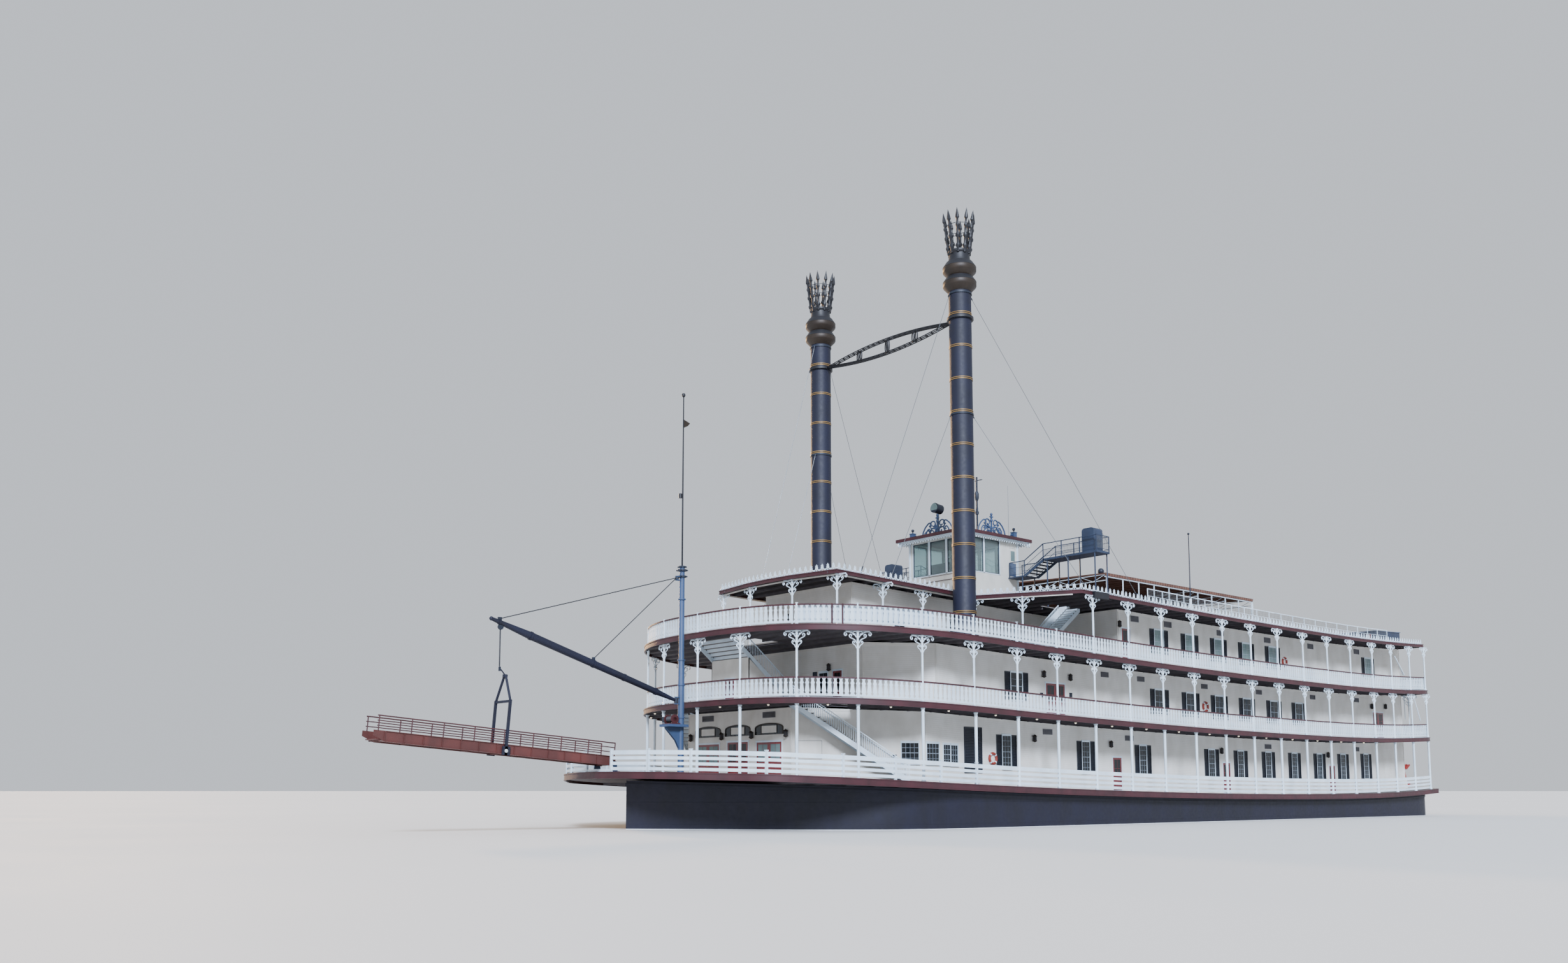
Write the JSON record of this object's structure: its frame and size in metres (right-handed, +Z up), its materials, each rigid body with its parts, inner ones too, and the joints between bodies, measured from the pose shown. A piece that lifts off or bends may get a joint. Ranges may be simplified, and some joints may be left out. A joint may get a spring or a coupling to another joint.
{
  "type": "scale model of a sternwheel paddle boat",
  "caption": "River passenger boat with stacked galleried decks, tall stacks, a pilothouse, a swinging boom and landing stage at the bow, and paddle wheels at the stern.",
  "frame": {"origin": "on the flat bottom of the hull, amidships on the centreline", "axes": "+X to the bow, +Y to port, +Z up; the waterline lies 0.210 m above the origin"},
  "size_m": [9.7674, 2.37, 4.0704],
  "materials": {
    "hull_paint": "semi-gloss marine paint, dark navy",
    "oxblood_paint": "semi-gloss dark red paint",
    "white_paint": "gloss white paint",
    "siding_paint": "cream paint on lapped boards",
    "stack_paint": "gloss navy paint",
    "blue_grey_paint": "satin blue-grey paint",
    "wheel_paint": "satin red paint",
    "stage_paint": "red oxide paint",
    "canopy_fabric": "brown ribbed awning",
    "stay_wire": "tarred wire",
    "window_glass": "tinted glass",
    "gold_paint": "gold paint",
    "lamp_glass": "opal lamp glass"
  },
  "bodies": {
    "boat": {"hull": "hull_paint", "main_deck": "oxblood_paint", "fore_deck": "oxblood_paint", "boiler_deck": "oxblood_paint", "texas_deck": "oxblood_paint", "hurricane_roof": "oxblood_paint", "pilothouse_roof": "oxblood_paint", "port_main_stair": "white_paint", "port_texas_stair": "white_paint", "main_deck_port_columns": "white_paint", "boiler_deck_port_columns": "white_paint", "texas_deck_port_columns": "white_paint", "port_roof_rail": "white_paint", "port_bridge_wing": "blue_grey_paint", "port_stack": "stack_paint", "main_house_port_side": "siding_paint", "starboard_main_stair": "white_paint", "starboard_texas_stair": "white_paint", "main_deck_starboard_columns": "white_paint", "boiler_deck_starboard_columns": "white_paint", "texas_deck_starboard_columns": "white_paint", "starboard_roof_rail": "white_paint", "starboard_bridge_wing": "blue_grey_paint", "starboard_stack": "stack_paint", "main_house_starboard_side": "siding_paint", "boiler_stair": "white_paint", "boiler_deck_bow_columns": "white_paint", "texas_deck_bow_columns": "white_paint", "boiler_deck_stern_columns": "white_paint", "texas_deck_stern_columns": "white_paint", "main_deck_bow_columns": "white_paint", "texas_roof_columns": "white_paint", "bow_fence": "white_paint", "pilothouse_walls": "white_paint", "wheel_beams": "white_paint", "main_house_front": "siding_paint", "main_house_stern": "siding_paint", "boiler_house_front": "siding_paint", "boiler_house_sides": "siding_paint", "texas_house_front": "siding_paint", "texas_house_sides": "siding_paint", "stack_rigging": "stack_paint", "jackmast": "blue_grey_paint", "stage_hinge": "blue_grey_paint", "aft_deckhouse": "blue_grey_paint", "boom_winch": "wheel_paint", "awning": "canopy_fabric"},
    "port_wheel": {"port_paddle_wheel": "wheel_paint"},
    "starboard_wheel": {"starboard_paddle_wheel": "wheel_paint"},
    "port_rudder": {"port_rudder": "hull_paint"},
    "starboard_rudder": {"starboard_rudder": "hull_paint"},
    "boom": {"boom": "stack_paint"},
    "stage": {"landing_stage": "stage_paint"},
    "front_door_port": {"front_door_port": "oxblood_paint"},
    "front_door_starboard": {"front_door_starboard": "oxblood_paint"},
    "port_side_door_fore": {"port_side_door_fore": "oxblood_paint"},
    "port_side_door_aft": {"port_side_door_aft": "oxblood_paint"},
    "starboard_side_door_fore": {"starboard_side_door_fore": "oxblood_paint"},
    "starboard_side_door_aft": {"starboard_side_door_aft": "oxblood_paint"},
    "pilothouse_door": {"pilothouse_door": "white_paint"}
  },
  "joints": [
    {"name": "port_wheel_spin", "type": "hinge", "parent": "boat", "child": "port_wheel", "pos_m": [-3.48, 0.3, 0.48], "axis": [0, 1, 0], "continuous": true},
    {"name": "starboard_wheel_spin", "type": "hinge", "parent": "boat", "child": "starboard_wheel", "pos_m": [-3.48, -0.3, 0.48], "axis": [0, 1, 0], "continuous": true},
    {"name": "port_rudder_turn", "type": "hinge", "parent": "boat", "child": "port_rudder", "pos_m": [-2.75, 0.45, 0.1], "axis": [0, 0, 1], "range_deg": [-40, 40]},
    {"name": "starboard_rudder_turn", "type": "hinge", "parent": "boat", "child": "starboard_rudder", "pos_m": [-2.75, -0.45, 0.1], "axis": [0, 0, 1], "range_deg": [-40, 40]},
    {"name": "boom_swing", "type": "hinge", "parent": "boat", "child": "boom", "pos_m": [4.135, 0, 0.925], "axis": [0, 0, 1], "range_deg": [-60, 60]},
    {"name": "stage_luff", "type": "hinge", "parent": "boat", "child": "stage", "pos_m": [4.595, 0, 0.562], "axis": [0, 1, 0], "range_deg": [0, 10]},
    {"name": "front_door_port_swing", "type": "hinge", "parent": "boat", "child": "front_door_port", "pos_m": [3.69, 0.094, 0.592], "axis": [0, 0, 1], "range_deg": [0, 100]},
    {"name": "front_door_starboard_swing", "type": "hinge", "parent": "boat", "child": "front_door_starboard", "pos_m": [3.69, -0.094, 0.592], "axis": [0, 0, 1], "range_deg": [-100, 0]},
    {"name": "port_side_door_fore_swing", "type": "hinge", "parent": "boat", "child": "port_side_door_fore", "pos_m": [2.007, 0.925, 0.975], "axis": [0, 0, 1], "range_deg": [-100, 0]},
    {"name": "port_side_door_aft_swing", "type": "hinge", "parent": "boat", "child": "port_side_door_aft", "pos_m": [1.819, 0.925, 0.975], "axis": [0, 0, 1], "range_deg": [0, 100]},
    {"name": "starboard_side_door_fore_swing", "type": "hinge", "parent": "boat", "child": "starboard_side_door_fore", "pos_m": [2.007, -0.925, 0.975], "axis": [0, 0, 1], "range_deg": [0, 100]},
    {"name": "starboard_side_door_aft_swing", "type": "hinge", "parent": "boat", "child": "starboard_side_door_aft", "pos_m": [1.819, -0.925, 0.975], "axis": [0, 0, 1], "range_deg": [-100, 0]},
    {"name": "pilothouse_door_swing", "type": "hinge", "parent": "boat", "child": "pilothouse_door", "pos_m": [1.452, 0.26, 1.978], "axis": [0, 0, 1], "range_deg": [0, 95]}
  ],
  "couplings": [
    {"joint": "starboard_rudder_turn", "follows": "port_rudder_turn", "ratio": 1}
  ]
}
